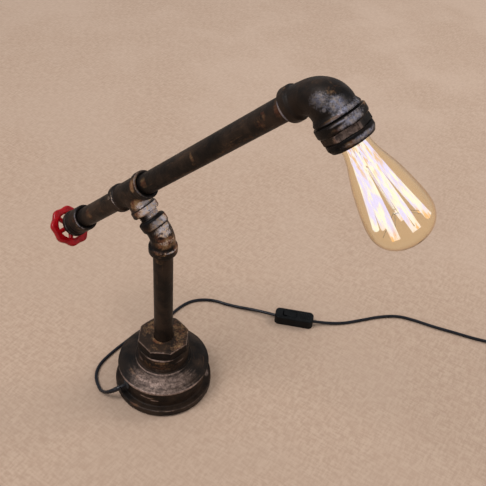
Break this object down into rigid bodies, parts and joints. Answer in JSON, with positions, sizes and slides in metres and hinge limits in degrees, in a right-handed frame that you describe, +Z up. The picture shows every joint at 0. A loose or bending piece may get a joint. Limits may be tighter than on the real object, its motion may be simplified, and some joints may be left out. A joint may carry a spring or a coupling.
{
  "type": "table lamp",
  "caption": "Table lamp of threaded iron pipe: a bell base and riser carry a leaning swivel arm with a bare bulb on one end and a red handwheel on the other.",
  "frame": {"origin": "centre of the base's underside, on the riser's axis, on the table's plane", "axes": "+Z up along the riser; +X towards the bulb, the way the arm rises; +Y completes the frame, to the left of the arm seen from the handwheel"},
  "size_m": [0.5637, 0.3831, 0.4659],
  "materials": {
    "dark_iron": "dark brown iron, waxed, worn bright and rusty on its edges",
    "bell_iron": "grey-brown iron, brushed on its shoulder",
    "dark_pipe": "dark bronze-brown oiled steel with rubbed streaks",
    "worn_thread": "bare steel thread, dark in its roots",
    "plain_steel": "plain steel",
    "red_paint": "glossy red paint",
    "pad_rubber": "matt black rubber",
    "brass": "plain brass",
    "tin": "bulb cap, satin",
    "ceramic": "white glazed ceramic",
    "black_glass": "black cap glass",
    "amber_glass": "clear glass with a light amber tint",
    "clear_glass": "clear glass mount",
    "molybdenum": "thin bright wire",
    "filament": "lit filament",
    "black_plastic": "black plastic with a fine texture",
    "black_pvc": "black flexible sheath, slightly glossy",
    "wire_brown": "brown insulated wires",
    "terminal_plastic": "off-white plastic",
    "strap": "black hook-and-loop strap"
  },
  "bodies": {
    "base": {"base_bell": "bell_iron", "base_plate": "plain_steel", "base_pad": "pad_rubber", "plate_screws": "plain_steel", "cord_grommet": "pad_rubber", "cord_stop": "black_plastic", "inner_cord": "black_pvc", "terminal_block": "terminal_plastic", "terminal_screws": "brass", "riser_bushing": "dark_iron", "riser_pipe": "dark_pipe", "riser_wires": "wire_brown", "cord_lead": "black_pvc", "switch_base": "black_plastic", "switch_cover": "black_plastic", "switch_contacts": "brass", "switch_screws": "plain_steel", "cord_tail": "black_pvc", "cord_coil": "black_pvc", "coil_tie": "strap", "plug_body": "black_plastic", "plug_pins": "brass", "plug_sleeves": "black_plastic"},
    "elbow": {"lean_elbow": "dark_iron", "branch_nipple": "worn_thread", "elbow_wires": "wire_brown"},
    "arm": {"tee": "dark_iron", "arm_pipe": "dark_pipe", "arm_wires": "wire_brown", "rear_pipe": "dark_pipe", "rear_coupling": "dark_iron", "rear_plug": "dark_iron"},
    "wheel": {"wheel_spindle": "plain_steel", "spindle_clip": "plain_steel", "handwheel": "red_paint", "wheel_washer": "plain_steel", "wheel_screw": "plain_steel"},
    "head": {"head_elbow": "dark_iron", "head_bushing": "dark_iron", "holder_insulator": "ceramic", "holder_shell": "brass", "holder_contact": "brass", "holder_screws": "brass", "holder_ring": "dark_iron", "head_wires": "wire_brown"},
    "bulb": {"bulb_cap": "tin", "bulb_cap_seal": "black_glass", "bulb_contact": "tin", "bulb_glass": "amber_glass", "bulb_stem": "clear_glass", "bulb_supports": "molybdenum", "bulb_filament": "filament"},
    "rocker": {"switch_rocker": "black_plastic"}
  },
  "joints": [
    {"name": "riser_swivel", "type": "hinge", "parent": "base", "child": "elbow", "pos_m": [0, 0, 0.2088], "axis": [0, 0, 1], "range_deg": [-165, 165]},
    {"name": "arm_swing", "type": "hinge", "parent": "elbow", "child": "arm", "pos_m": [-0.02678, 0, 0.25808], "axis": [-0.7071, 0, 0.7071], "range_deg": [-70, 70]},
    {"name": "head_swivel", "type": "hinge", "parent": "arm", "child": "head", "pos_m": [0.14899, 0, 0.4568], "axis": [0.7071, 0, 0.7071], "range_deg": [-90, 90]},
    {"name": "wheel_spin", "type": "hinge", "parent": "arm", "child": "wheel", "pos_m": [-0.13322, 0, 0.17459], "axis": [0.7071, 0, 0.7071], "continuous": true},
    {"name": "bulb_out", "type": "slide", "parent": "head", "child": "bulb", "axis": [0.7071, 0, -0.7071], "range_m": [0, 0.03]},
    {"name": "switch_rock", "type": "hinge", "parent": "base", "child": "rocker", "pos_m": [0.07581, 0.17408, 0.011], "axis": [-0.4035, 0.915, 0], "range_deg": [-16, 0]}
  ]
}
